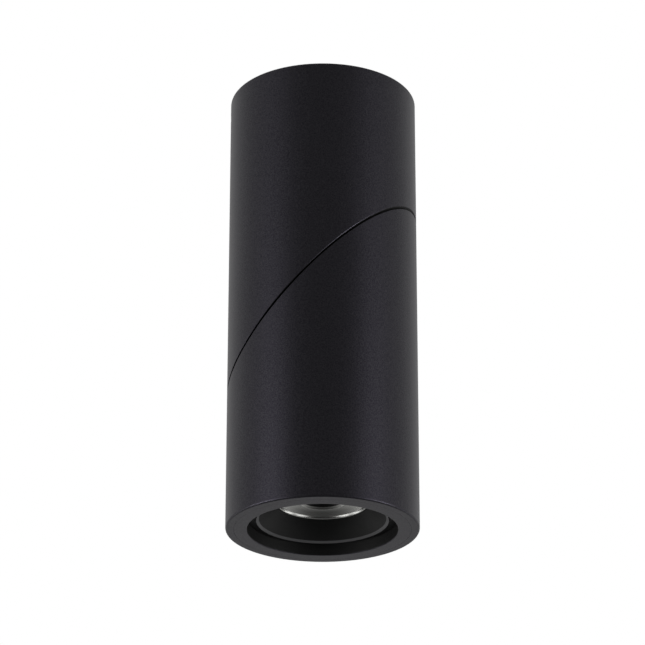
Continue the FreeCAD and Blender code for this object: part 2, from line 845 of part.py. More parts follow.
def terminal_inserts():
    inserts = []
    for y in pole_places:
        bar = block(insert_depth, s.insert_width, insert_top - insert_low, "insert_bar")
        place(bar, insert_x, y - s.insert_width / 2, insert_low)
        holes = []
        for z in (upper_entry_z, lower_entry_z):
            bore = cylinder(s.terminal_entry_radius, insert_depth, "insert_bore")
            holes.append(place(bore, insert_x - s.insert_roof, y, z, (0, 1, 0), 90))
        thread = cylinder(s.terminal_screw_radius + s.press_gap, lower_entry_z - insert_low + s.overrun)
        holes.append(place(thread, terminal_middle_x, y, insert_low - s.overrun))
        inserts.append(cut(bar, holes, "insert"))
    keep(group(inserts), "terminal_inserts")


def terminal_screws():
    screws = []
    for y in pole_places:
        low = lower_entry_z - s.lead_radius - s.terminal_screw_length
        rod = place(cylinder(s.terminal_screw_radius, s.terminal_screw_length), terminal_middle_x, y, low)
        socket = hexagon_rod(s.screw_socket_radius, s.screw_socket_depth + s.overrun)
        place(socket, terminal_middle_x, y, low - s.overrun)
        screws.append(cut(rod, [socket], "terminal_screw"))
    keep(group(screws), "terminal_screws")


def terminal_fixing_screws():
    seat = terminal_top - s.terminal_ear_height
    shank = s.terminal_ear_height + s.plate_thickness
    screws = [place(screw(shank), x, y, seat, (1, 0, 0), 180) for x, y in terminal_screw_spots()]
    keep(group(screws), "terminal_fixing_screws")


# Earth point: a screw and a crimped eyelet on the ceiling plate

earth_screw_y = -(skirt_bore - s.earth_screw_margin)
barrel_z = -s.plate_thickness - s.eyelet_barrel_radius
barrel_start_y = earth_screw_y + s.eyelet_radius - s.eyelet_overlap
barrel_end_y = barrel_start_y + s.eyelet_barrel_length


def earth_screw_spot():
    return -s.earth_screw_offset, earth_screw_y


def earth_screw():
    x, y = earth_screw_spot()
    seat = -s.plate_thickness - s.eyelet_thickness
    shank = s.eyelet_thickness + s.plate_thickness
    keep(place(screw(shank), x, y, seat, (1, 0, 0), 180), "earth_screw")


def earth_eyelet():
    x, y = earth_screw_spot()
    disc = cylinder(s.eyelet_radius, s.eyelet_thickness)
    place(disc, x, y, -s.plate_thickness - s.eyelet_thickness)
    barrel = cylinder(s.eyelet_barrel_radius, s.eyelet_barrel_length)
    place(barrel, x, barrel_end_y, barrel_z, (1, 0, 0), 90)
    eye = cylinder(screw_hole_radius, s.plate_thickness + s.overrun)
    place(eye, x, y, -s.plate_thickness - s.overrun)
    crimp = cylinder(s.lead_radius + s.press_gap, s.lead_insertion + s.overrun)
    place(crimp, x, barrel_end_y + s.overrun, barrel_z, (1, 0, 0), 90)
    keep(cut(fuse([disc, barrel]), [eye, crimp], "eyelet"), "earth_eyelet")


# Leads inside the upper housing

def mains_leads():
    lead_end_x = terminal_middle_x + s.terminal_screw_radius
    free_x = terminal_x - s.lead_run_out
    top = -s.lead_clear_drop
    for label, pole, side in (("live_lead", s.terminal_pitch, 1), ("neutral_lead", 0, -1)):
        y = s.driver_lead_spacing / 2 * side
        lead(label, [
            (lead_end_x, pole, lower_entry_z),
            (free_x, pole, lower_entry_z),
            (driver_outlet_x + s.lead_run_back, y, top),
            (driver_outlet_x, y, top),
            (driver_outlet_x, y, -s.driver_drop - s.lead_insertion),
        ], s.lead_radius, s.lead_bend_radius)
    x, _ = earth_screw_spot()
    lead("earth_lead", [
        (x, barrel_end_y - s.lead_insertion, barrel_z),
        (x, barrel_end_y + s.earth_lead_run, barrel_z),
        (free_x - s.lead_run_out, -s.terminal_pitch, lower_entry_z),
        (lead_end_x, -s.terminal_pitch, lower_entry_z),
    ], s.lead_radius, s.lead_bend_radius)


def lamp_lead_corner(offset):
    """The point at which a plumb line at this offset meets the pivot's axis."""
    return offset, 0, -seam_drop - offset * cosine(s.seam_tilt) / sine(s.seam_tilt)


def on_pivot(up):
    """The point of the pivot's axis at this height square to the cut."""
    return -up * sine(s.seam_tilt), 0, up * cosine(s.seam_tilt) - seam_drop


def lamp_leads():
    """The two-core lead from the driver to the lamp, in two halves that meet inside the pivot."""
    x, y, z = lamp_lead_corner(-s.lamp_lead_offset)
    lead("lamp_lead_upper", [
        (x, y, driver_low + s.lead_insertion),
        (x, y, z),
        on_pivot(s.lamp_lead_split / 2),
    ], s.lamp_lead_radius, s.lamp_lead_bend_radius)
    x, y, z = lamp_lead_corner(s.lamp_lead_offset)
    lead("lamp_lead_lower", [
        on_pivot(-s.lamp_lead_split / 2),
        (x, y, z),
        (x, y, front_z + heat_sink_foot),
    ], s.lamp_lead_radius, s.lamp_lead_bend_radius)


# Pivot, in the seam's frame: heights run up from the middle of the gap

lower_nut_top = lower_inner_face - s.lock_washer_thickness
pivot_clearance_radius = s.pivot_radius + s.press_gap


def pivot_bush():
    flange_top = upper_inner_face + s.bush_flange_thickness
    bore = s.pivot_radius + s.running_gap
    keep(place_on_seam(turned("pivot_bush", [
        (bore, half_gap),
        (s.bush_radius, half_gap),
        (s.bush_radius, upper_inner_face),
        (s.bush_flange_radius, upper_inner_face),
        (s.bush_flange_radius, flange_top),
        (bore, flange_top),
    ])), "pivot_bush")


def pivot_tube():
    low = lower_nut_top - s.nut_thickness - s.pivot_thread_spare
    flange_low = -half_gap - s.pivot_flange_thickness
    keep(place_on_seam(turned("pivot_tube", [
        (s.pivot_bore_radius, low),
        (s.pivot_radius, low),
        (s.pivot_radius, flange_low),
        (s.pivot_flange_radius, flange_low),
        (s.pivot_flange_radius, -half_gap),
        (s.pivot_radius, -half_gap),
        (s.pivot_radius, pivot_top),
        (s.pivot_bore_radius, pivot_top),
    ])), "pivot_tube")


def friction_disc():
    piece = ring("friction_disc", pivot_clearance_radius, stop_circle_radius - s.friction_disc_margin,
                 -half_gap, half_gap - s.running_gap)
    keep(place_on_seam(piece), "friction_disc")


def thrust_washer():
    piece = ring("thrust_washer", pivot_clearance_radius, s.thrust_washer_radius,
                 thrust_washer_low, spring_low)
    keep(place_on_seam(piece), "thrust_washer")


def disc_spring():
    keep(place_on_seam(turned("disc_spring", [
        (s.spring_radius, spring_low),
        (s.spring_radius, spring_low + s.spring_thickness),
        (pivot_clearance_radius, upper_nut_low),
        (pivot_clearance_radius, upper_nut_low - s.spring_thickness),
    ])), "disc_spring")


def lock_washer():
    piece = ring("lock_washer", pivot_clearance_radius, s.lock_washer_radius,
                 lower_nut_top, lower_inner_face)
    keep(place_on_seam(piece), "lock_washer")


def pivot_nut(label, low):
    rod = place(hexagon_rod(s.nut_corner_radius, s.nut_thickness), z=low)
    bore = place(cylinder(pivot_clearance_radius, s.nut_thickness + s.overrun * 2), z=low - s.overrun)
    keep(place_on_seam(cut(rod, [bore], label)), label)


def stop_pin():
    reach = half_gap + s.stop_pin_reach
    rod = cylinder(s.stop_pin_radius, s.stop_pin_depth + half_gap + reach)
    keep(place_on_seam(rod, along=-stop_circle_radius, up=-half_gap - s.stop_pin_depth), "stop_pin")


# Head

def head_housing():
    outside = place(cylinder(s.body_radius, s.overall_height, "head_outside"), z=front_z)
    shell = common(outside, half_space(-half_gap, above=False), "head_solid")
    front_bore = place(cylinder(housing_bore, shoulder_height + s.overrun), z=front_z - s.overrun)
    hollow = place(cylinder(housing_bore - s.shoulder_width, s.overall_height), z=front_z)
    cavity = common(hollow, half_space(lower_inner_face, above=False), "head_cavity")
    tools = [
        front_bore,
        cavity,
        pivot_hole(pivot_clearance_radius, lower_inner_face - s.overrun, half_gap + s.overrun),
        pivot_hole(s.pivot_flange_radius + s.press_gap, -half_gap - s.pivot_flange_thickness, half_gap),
        place_on_seam(cylinder(s.stop_pin_radius + s.press_gap, s.stop_pin_depth + s.overrun),
                      along=-stop_circle_radius, up=-half_gap - s.stop_pin_depth),
    ]
    housing = cut(shell, tools, "head_housing_cut")
    keep(chamfer_outer_edges(housing), "head_housing")


def at_front(body):
    """Moves a piece whose heights run up from the lit end to its place."""
    return place(body, z=front_z)


def front_ring():
    chamfer = s.aperture_chamfer
    keep(at_front(turned("front_ring", [
        (aperture_radius + chamfer, 0),
        (insert_radius, 0),
        (insert_radius, s.front_ring_height),
        (aperture_radius, s.front_ring_height),
        (aperture_radius, chamfer),
    ])), "front_ring")


def baffle():
    flange_top = s.front_ring_height + s.baffle_flange_height
    keep(at_front(turned("baffle", [
        (baffle_rim_radius, s.baffle_rim_height),
        (baffle_rim_radius + s.baffle_rim_slant, s.front_ring_height),
        (insert_radius, s.front_ring_height),
        (insert_radius, flange_top),
        (baffle_step_radius + s.baffle_wall, flange_top),
        (baffle_mouth_radius + s.baffle_wall, reflector_low),
        (baffle_mouth_radius, reflector_low),
        (baffle_mouth_radius, s.baffle_mouth_height),
        (baffle_step_radius, s.baffle_step_height),
    ])), "baffle")


def spacer_sleeve():
    low = s.front_ring_height + s.baffle_flange_height
    piece = ring("spacer_sleeve", insert_radius - s.sleeve_wall, insert_radius, low, heat_sink_foot)
    keep(at_front(piece), "spacer_sleeve")


def reflector():
    wall = s.reflector_wall
    flange_radius = reflector_lip_radius + s.reflector_flange_width
    rim_radius = reflector_lip_radius + s.reflector_lip_wall
    lip_low = reflector_low - s.reflector_lip_drop
    dish_low = lip_low + s.reflector_lip_rise
    dish_high = dish_low + s.reflector_dish_rise
    bead_radius = reflector_neck_radius + s.reflector_bead_margin
    keep(at_front(turned("reflector", [
        (reflector_lip_radius, lip_low),
        (rim_radius, lip_low),
        (rim_radius, reflector_low),
        (flange_radius, reflector_low),
        (flange_radius, reflector_low + wall),
        (reflector_lip_radius, reflector_low + wall),
        (reflector_neck_radius + wall, dish_high + wall),
        (reflector_neck_radius + wall, reflector_high),
        (reflector_neck_radius, reflector_high),
        (reflector_neck_radius, dish_high),
        (bead_radius, dish_low + s.reflector_bead_rise),
        (bead_radius + s.reflector_bead_width, dish_high),
        (reflector_lip_radius - s.reflector_lip_width, dish_low),
    ])), "reflector")


def led_holder():
    seat = heat_sink_foot - s.pad_thickness - s.board_thickness
    body = new_body("led_holder_body")
    plan = new_sketch(body, "XY_Plane", reflector_high)
    draw_circle(plan, 0, 0, holder_radius)
    pad(body, plan, s.holder_height)
    well = new_sketch(body, "XY_Plane", heat_sink_foot)
    half = s.board_width / 2 + s.press_gap
    draw_rectangle(well, -half, half, -half, half)
    pocket(body, well, heat_sink_foot - seat)
    holes = new_sketch(body, "XY_Plane", reflector_high)
    draw_circle(holes, 0, 0, reflector_neck_radius)
    for side in (1, -1):
        draw_circle(holes, 0, holder_screw_place * side, screw_hole_radius)
    pocket(body, holes)
    keep(at_front(body), "led_holder")


def holder_screws():
    seat = front_z + reflector_high
    shank = s.holder_height + s.holder_screw_grip
    screws = [place(screw(shank), 0, holder_screw_place * side, seat, (1, 0, 0), 180)
              for side in (1, -1)]
    keep(group(screws), "holder_screws")


def square_plate(label, low, thickness):
    half = s.board_width / 2
    body = new_body(f"{label}_body")
    plan = new_sketch(body, "XY_Plane", low)
    draw_rectangle(plan, -half, half, -half, half)
    pad(body, plan, thickness)
    keep(at_front(body), label)


def led_parts():
    board_low = heat_sink_foot - s.pad_thickness - s.board_thickness
    square_plate("thermal_pad", heat_sink_foot - s.pad_thickness, s.pad_thickness)
    square_plate("led_board", board_low, s.board_thickness)
    emitter = cylinder(s.emitter_radius, s.emitter_thickness)
    keep(place(emitter, z=front_z + board_low - s.emitter_thickness), "led_emitter")


def heat_sink():
    body = new_body("heat_sink_body")
    base_top = heat_sink_foot + s.heat_sink_base
    fin_height = shoulder_height - base_top
    plan = new_sketch(body, "XY_Plane", heat_sink_foot)
    draw_circle(plan, 0, 0, insert_radius)
    draw_circle(plan, s.lamp_lead_offset, 0, s.lead_hole_radius)
    for side in (1, -1):
        draw_circle(plan, 0, holder_screw_place * side, screw_hole_radius)
    pad(body, plan, s.heat_sink_base)
    core = new_sketch(body, "XY_Plane", base_top)
    draw_circle(core, 0, 0, s.heat_sink_core_radius)
    pad(body, core, fin_height)
    fin_plan = new_sketch(body, "XY_Plane", base_top)
    turn = 180 / s.fin_count
    along_x = cosine(turn)
    along_y = sine(turn)
    half = s.fin_thickness / 2
    start = s.heat_sink_core_radius - half
    end = insert_radius - s.press_gap
    reaches = ((start, -half), (end, -half), (end, half), (start, half))
    corners = [(reach * along_x - side * along_y, reach * along_y + side * along_x)
               for reach, side in reaches]
    draw_outline(fin_plan, corners)
    fin = pad(body, fin_plan, fin_height)
    fins = body.newObject("PartDesign::PolarPattern", "heat_sink_fins")
    fins.Originals = [fin]
    fins.Axis = (fin_plan, ["N_Axis"])
    fins.Angle = 360
    fins.Occurrences = round(s.fin_count.value)
    fins.setExpression("Occurrences", s.fin_count.formula)
    body.Tip = fins
    doc.recompute()
    if not body.Shape.Volume > fin.Shape.Volume:
        raise RuntimeError("the fins were not repeated")
    keep(at_front(body), "heat_sink")


# Building

ceiling_plate()
cable_grommet()
upper_housing()
housing_grub_screws()
driver_bracket()
bracket_screws()
driver_case()
driver_lid()
driver_screws()
terminal_block()
terminal_inserts()
terminal_screws()
terminal_fixing_screws()
earth_screw()
earth_eyelet()
mains_leads()
lamp_leads()
pivot_bush()
pivot_tube()
friction_disc()
thrust_washer()
disc_spring()
lock_washer()
pivot_nut("pivot_nut_upper", upper_nut_low)
pivot_nut("pivot_nut_lower", lower_nut_top - s.nut_thickness)
stop_pin()
head_housing()
front_ring()
baffle()
spacer_sleeve()
reflector()
led_holder()
holder_screws()
led_parts()
heat_sink()
doc.recompute()

for item in doc.Objects:
    if "Invalid" in item.State or "Error" in item.State:
        raise RuntimeError(f"{item.Label} failed: {item.State}")
for node in nodes:
    if node.Shape.isNull() or not node.Shape.isValid():
        raise RuntimeError(f"{node.Label} has no valid shape")

os.makedirs("parts", exist_ok=True)
for node in nodes:
    node.Shape.exportStep(f"parts/{node.Label}.step")
    print(f"{node.Label}: {len(node.Shape.Solids)} solids, {node.Shape.Volume:.1f} mm3")
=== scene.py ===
import json
import math

import bmesh
import bpy
from mathutils import Matrix, Vector


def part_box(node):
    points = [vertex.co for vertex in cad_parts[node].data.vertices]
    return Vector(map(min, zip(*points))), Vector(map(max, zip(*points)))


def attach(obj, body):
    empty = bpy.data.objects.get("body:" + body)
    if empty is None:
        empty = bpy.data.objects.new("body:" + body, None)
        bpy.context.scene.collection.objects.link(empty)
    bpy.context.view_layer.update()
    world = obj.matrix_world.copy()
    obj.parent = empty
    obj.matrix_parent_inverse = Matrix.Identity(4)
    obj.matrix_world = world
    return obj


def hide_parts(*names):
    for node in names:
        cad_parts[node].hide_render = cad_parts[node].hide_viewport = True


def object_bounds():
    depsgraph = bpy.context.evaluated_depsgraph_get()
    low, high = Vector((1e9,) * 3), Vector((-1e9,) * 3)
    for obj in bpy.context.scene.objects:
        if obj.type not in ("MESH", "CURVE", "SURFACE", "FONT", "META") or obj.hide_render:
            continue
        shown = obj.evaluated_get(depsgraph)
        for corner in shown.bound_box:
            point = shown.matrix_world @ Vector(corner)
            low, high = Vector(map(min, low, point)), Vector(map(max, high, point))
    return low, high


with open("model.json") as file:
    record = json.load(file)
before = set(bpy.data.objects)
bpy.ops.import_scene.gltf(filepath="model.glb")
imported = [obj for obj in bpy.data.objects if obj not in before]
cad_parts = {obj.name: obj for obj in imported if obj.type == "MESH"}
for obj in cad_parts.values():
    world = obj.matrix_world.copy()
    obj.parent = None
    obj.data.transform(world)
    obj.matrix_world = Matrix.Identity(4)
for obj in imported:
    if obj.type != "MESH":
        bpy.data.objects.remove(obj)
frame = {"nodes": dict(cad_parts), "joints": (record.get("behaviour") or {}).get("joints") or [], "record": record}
cad_low, cad_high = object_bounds()

# Metres throughout, in the lamp's own frame: the ceiling face is at z = 0 and the lamp hangs below it.

MM = 0.001

# Sizes read from the construction

lit_end_z = cad_low.z
body_radius = cad_high.x
turning_joint = frame["joints"][0]
seam_centre = Vector(turning_joint["pos_m"])
seam_up = Vector(turning_joint["axis"]).normalized()

# Camera: a long lens a little below the lamp, looking up at it

CAMERA_AZIMUTH = math.radians(12.5)
CAMERA_DISTANCE = 1.061
CAMERA_BELOW_LIT_END = 0.382
CAMERA_PITCH = math.radians(23.60)
CAMERA_ROLL = math.radians(0.054)
CAMERA_SIDESTEP = 0.083 * MM
LENS_MM = 174.7
SENSOR_MM = 36.0
NEAREST_SEEN = 0.05
FARTHEST_SEEN = 40.0

# Floor

FLOOR_Z = -1.5
FLOOR_SIZE = 14.0
FLOOR_PAINT = 0.85
FLOOR_GLOW = 0.35

# Light panels: each side has a tall softbox with a brighter core, a wide card for the reflector and a
# small strong strip for the rims. Turns count from the camera, and the shares set left and right apart.

PANEL_DISTANCE = 1.5
LEFT_SHARE = 1.1
RIGHT_SHARE = 0.96
SOFTBOX_WIDTH = 0.9
SOFTBOX_HEIGHT = 1.68
SOFTBOX_RADIANCE = 1.08
SOFTBOX_TURN = math.radians(60)
SOFTBOX_Z = -0.385
CORE_WIDTH = 0.45
CORE_HEIGHT = 0.5
CORE_RADIANCE = 2.4
CORE_TURN = math.radians(62)
CORE_ELEVATION = math.radians(-4)
CARD_WIDTH = 1.3
CARD_HEIGHT = 0.36
CARD_RADIANCE = 1.1
CARD_TURN = math.radians(108)
CARD_ELEVATION = math.radians(-21)
STRIP_WIDTH = 0.35
STRIP_HEIGHT = 0.2
STRIP_RADIANCE = 20.0
STRIP_TURN = math.radians(75)
STRIP_ELEVATION = math.radians(-11)

# Surround: what reflections see grows from dark to bright as they turn away from the dark corner. The
# two limits are cosines of the angle from the middle of that corner.

SURROUND_DIFFUSE = 0.4
SURROUND_DARKEST = 0.02
SURROUND_BRIGHTEST = 0.5
DARK_CORNER_TILT = math.radians(-45)
DARK_UNTIL = 0.95
BRIGHT_FROM = -1.0

# Modelling

ROUND_SEGMENTS = 160
EDGE_SEGMENTS = 4
SAME_PLACE = 0.01 * MM
MERGE_WITHIN = 0.001 * MM
FLAT_BEND = math.radians(0.2)

# Shells: the chamfers that they are built with, how far from a chamfer's edges its rounding starts, and an
# allowance on the sizes that find them. Faces within the cut's depth of its plane are the cut itself, painted
# black as painted shade in the gap.

RIM_CHAMFER = 0.4 * MM
RIM_ROUNDING = 0.27 * MM
SEAM_CHAMFER = 0.15 * MM
SEAM_ROUNDING = 0.055 * MM
CHAMFER_BEND = math.radians(12)
ALLOWANCE = 1.1
CUT_DEPTH = 0.4 * MM

# Front end: millimetres from the axis, and above the lit end

OPENING_RADIUS = 27.2
RING_RADIUS = 31.95
RING_TOP = 4.5
INSERT_TOP = 10.9
BARE_RING_TOP = 4.1
# Inside the neck radius the reflector's collar is painted black, as painted shade.
NECK_RADIUS = 7.9
PAINT_MARGIN = 0.05


# Small tools

def deselect_all():
    bpy.ops.object.select_all(action="DESELECT")


def only(piece):
    deselect_all()
    bpy.context.view_layer.objects.active = piece
    piece.select_set(True)


def from_axis(place):
    return math.hypot(place.x, place.y)


def area_watts(radiance, width, height):
    return radiance * math.pi * width * height


def toward(azimuth, elevation=0.0):
    """The direction at this azimuth, counted as the camera's, and raised by the elevation."""
    level = math.cos(elevation)
    return Vector((math.sin(azimuth) * level, -math.cos(azimuth) * level, math.sin(elevation)))


# Camera and studio

def add_camera():
    data = bpy.data.cameras.new("view_camera")
    data.sensor_fit = "HORIZONTAL"
    data.sensor_width = SENSOR_MM
    data.lens = LENS_MM
    data.clip_start = NEAREST_SEEN
    data.clip_end = FARTHEST_SEEN
    camera = bpy.data.objects.new("view_camera", data)
    bpy.context.scene.collection.objects.link(camera)
    right = Vector((math.cos(CAMERA_AZIMUTH), math.sin(CAMERA_AZIMUTH), 0.0))
    place = toward(CAMERA_AZIMUTH) * CAMERA_DISTANCE - right * CAMERA_SIDESTEP
    place.z = lit_end_z - CAMERA_BELOW_LIT_END
    turn = Matrix.Rotation(CAMERA_AZIMUTH, 4, "Z")
    tilt = Matrix.Rotation(math.pi / 2 + CAMERA_PITCH, 4, "X")
    roll = Matrix.Rotation(CAMERA_ROLL, 4, "Z")
    camera.matrix_world = Matrix.Translation(place) @ turn @ tilt @ roll
    bpy.context.scene.camera = camera


def add_panel(name, azimuth, elevation, height, width, tall, radiance):
    """A soft light that faces the lamp's axis at this height."""
    data = bpy.data.lights.new(name, "AREA")
    data.shape = "RECTANGLE"
    data.size = width
    data.size_y = tall
    data.energy = area_watts(radiance, width, tall)
    box = bpy.data.objects.new(name, data)
    bpy.context.scene.collection.objects.link(box)
    away = toward(azimuth, elevation)
    box.location = away * PANEL_DISTANCE + Vector((0.0, 0.0, height))
    box.rotation_euler = away.to_track_quat("Z", "Y").to_euler()


def build_surround():
    """White to the camera, plain to soft light, and with one dark corner in front and below for gloss."""
    world = bpy.data.worlds.new("studio_surround")
    bpy.context.scene.world = world
    world.use_nodes = True
    nodes, links = world.node_tree.nodes, world.node_tree.links
    nodes.clear()
    direction = nodes.new("ShaderNodeTexCoord")
    nearness = nodes.new("ShaderNodeVectorMath")
    nearness.operation = "DOT_PRODUCT"
    nearness.inputs[1].default_value = toward(CAMERA_AZIMUTH, DARK_CORNER_TILT)
    links.new(direction.outputs["Generated"], nearness.inputs[0])
    seen = nodes.new("ShaderNodeMapRange")
    seen.interpolation_type = "SMOOTHSTEP"
    seen.inputs["From Min"].default_value = DARK_UNTIL
    seen.inputs["From Max"].default_value = BRIGHT_FROM
    seen.inputs["To Min"].default_value = SURROUND_DARKEST
    seen.inputs["To Max"].default_value = SURROUND_BRIGHTEST
    links.new(nearness.outputs["Value"], seen.inputs["Value"])
    path = nodes.new("ShaderNodeLightPath")
    by_glossy = nodes.new("ShaderNodeMix")
    by_glossy.inputs["A"].default_value = SURROUND_DIFFUSE
    links.new(path.outputs["Is Glossy Ray"], by_glossy.inputs["Factor"])
    links.new(seen.outputs["Result"], by_glossy.inputs["B"])
    by_camera = nodes.new("ShaderNodeMix")
    by_camera.inputs["B"].default_value = 1.0
    links.new(path.outputs["Is Camera Ray"], by_camera.inputs["Factor"])
    links.new(by_glossy.outputs["Result"], by_camera.inputs["A"])
    background = nodes.new("ShaderNodeBackground")
    background.inputs["Color"].default_value = (1.0, 1.0, 1.0, 1.0)
    links.new(by_camera.outputs["Result"], background.inputs["Strength"])
    output = nodes.new("ShaderNodeOutputWorld")
    links.new(background.outputs["Background"], output.inputs["Surface"])


def build_floor():
    """A matt floor that glows a little, to the camera only, and that reflections don't see."""
    deselect_all()
    bpy.ops.mesh.primitive_plane_add(size=FLOOR_SIZE, location=(0.0, 0.0, FLOOR_Z))
    floor = bpy.context.active_object
    floor.name = "pale_floor"
    floor.visible_glossy = False
    material = bpy.data.materials.new("pale_floor")
    material.use_nodes = True
    nodes, links = material.node_tree.nodes, material.node_tree.links
    nodes.clear()
    matt = nodes.new("ShaderNodeBsdfDiffuse")
    matt.inputs["Color"].default_value = (FLOOR_PAINT, FLOOR_PAINT, FLOOR_PAINT, 1.0)
    glow = nodes.new("ShaderNodeEmission")
    glow.inputs["Strength"].default_value = FLOOR_GLOW
    both = nodes.new("ShaderNodeAddShader")
    links.new(matt.outputs["BSDF"], both.inputs[0])
    links.new(glow.outputs["Emission"], both.inputs[1])
    path = nodes.new("ShaderNodeLightPath")
    choice = nodes.new("ShaderNodeMixShader")
    links.new(path.outputs["Is Camera Ray"], choice.inputs["Fac"])
    links.new(matt.outputs["BSDF"], choice.inputs[1])
    links.new(both.outputs["Shader"], choice.inputs[2])
    output = nodes.new("ShaderNodeOutputMaterial")
    links.new(choice.outputs["Shader"], output.inputs["Surface"])
    floor.data.materials.append(material)


add_camera()
build_surround()
build_floor()
for side, way, share in (("left", -1, LEFT_SHARE), ("right", 1, RIGHT_SHARE)):
    add_panel(side + "_softbox", CAMERA_AZIMUTH + way * SOFTBOX_TURN, 0.0, SOFTBOX_Z,
              SOFTBOX_WIDTH, SOFTBOX_HEIGHT, SOFTBOX_RADIANCE * share)
    add_panel(side + "_core", CAMERA_AZIMUTH + way * CORE_TURN, CORE_ELEVATION, lit_end_z,
              CORE_WIDTH, CORE_HEIGHT, CORE_RADIANCE * share)
    add_panel(side + "_card", CAMERA_AZIMUTH + way * CARD_TURN, CARD_ELEVATION, lit_end_z,
              CARD_WIDTH, CARD_HEIGHT, CARD_RADIANCE)
    add_panel(side + "_strip", CAMERA_AZIMUTH + way * STRIP_TURN, STRIP_ELEVATION, lit_end_z,
              STRIP_WIDTH, STRIP_HEIGHT, STRIP_RADIANCE)
bpy.context.scene.view_settings.view_transform = "Standard"


# Effects that several finishes share

def new_effect(name, inputs, outputs):
    """Starts a node group; inputs are (name, socket type, default) rows and outputs (name, socket type)."""
    group = bpy.data.node_groups.new(name, "ShaderNodeTree")
    for label, kind, default in inputs:
        socket = group.interface.new_socket(name=label, in_out="INPUT", socket_type=kind)
        if default is not None:
            socket.default_value = default
    for label, kind in outputs:
        group.interface.new_socket(name=label, in_out="OUTPUT", socket_type=kind)
    return group, group.nodes.new("NodeGroupInput"), group.nodes.new("NodeGroupOutput")


def make_grain_effect():
    """The orange peel and fine grain of a sprayed or moulded surface, from the place in metres."""
    group, given, result = new_effect(
        "fine_grain",
        [("Place", "NodeSocketVector", None), ("Grains per metre", "NodeSocketFloat", 3000.0),
         ("Waves per metre", "NodeSocketFloat", 250.0), ("Wave share", "NodeSocketFloat", 0.3)],
        [("Height", "NodeSocketFloat"), ("Speckle", "NodeSocketFloat"), ("Cloud", "NodeSocketFloat")])
    nodes, links = group.nodes, group.links
    grain = nodes.new("ShaderNodeTexNoise")
    grain.inputs["Detail"].default_value = 2.0
    links.new(given.outputs["Place"], grain.inputs["Vector"])
    links.new(given.outputs["Grains per metre"], grain.inputs["Scale"])
    wave = nodes.new("ShaderNodeTexNoise")
    wave.inputs["Detail"].default_value = 1.0
    links.new(given.outputs["Place"], wave.inputs["Vector"])
    links.new(given.outputs["Waves per metre"], wave.inputs["Scale"])
    mixed = nodes.new("ShaderNodeMix")
    links.new(given.outputs["Wave share"], mixed.inputs["Factor"])
    links.new(grain.outputs["Fac"], mixed.inputs["A"])
    links.new(wave.outputs["Fac"], mixed.inputs["B"])
    links.new(mixed.outputs["Result"], result.inputs["Height"])
    links.new(grain.outputs["Fac"], result.inputs["Speckle"])
    links.new(wave.outputs["Fac"], result.inputs["Cloud"])
    return group


def make_turned_effect():
    """Fine rings round the Z axis, as a lathe tool leaves them, from the place in metres."""
    group, given, result = new_effect(
        "turned_rings",
        [("Place", "NodeSocketVector", None), ("Rings per metre", "NodeSocketFloat", 3000.0)],
        [("Height", "NodeSocketFloat"), ("Streak", "NodeSocketFloat")])
    nodes, links = group.nodes, group.links
    split = nodes.new("ShaderNodeSeparateXYZ")
    links.new(given.outputs["Place"], split.inputs["Vector"])
    flat = nodes.new("ShaderNodeCombineXYZ")
    links.new(split.outputs["X"], flat.inputs["X"])
    links.new(split.outputs["Y"], flat.inputs["Y"])
    radius = nodes.new("ShaderNodeVectorMath")
    radius.operation = "LENGTH"
    links.new(flat.outputs["Vector"], radius.inputs[0])
    along = nodes.new("ShaderNodeMath")
    along.operation = "ADD"
    links.new(radius.outputs["Value"], along.inputs[0])
    links.new(split.outputs["Z"], along.inputs[1])
    rings = nodes.new("ShaderNodeTexNoise")
    rings.noise_dimensions = "1D"
    rings.inputs["Detail"].default_value = 3.0
    links.new(along.outputs["Value"], rings.inputs["W"])
    links.new(given.outputs["Rings per metre"], rings.inputs["Scale"])
    links.new(rings.outputs["Fac"], result.inputs["Height"])
    links.new(rings.outputs["Fac"], result.inputs["Streak"])
    return group


grain_effect = make_grain_effect()
turned_effect = make_turned_effect()


# Finishes

MASK_LOW = 0.3
MASK_HIGH = 0.7
COAT_SHEEN = (0.74, 0.66, 1.0, 1.0)
COAT_REFLECTION = 0.35
COAT_LACQUER = 0.6


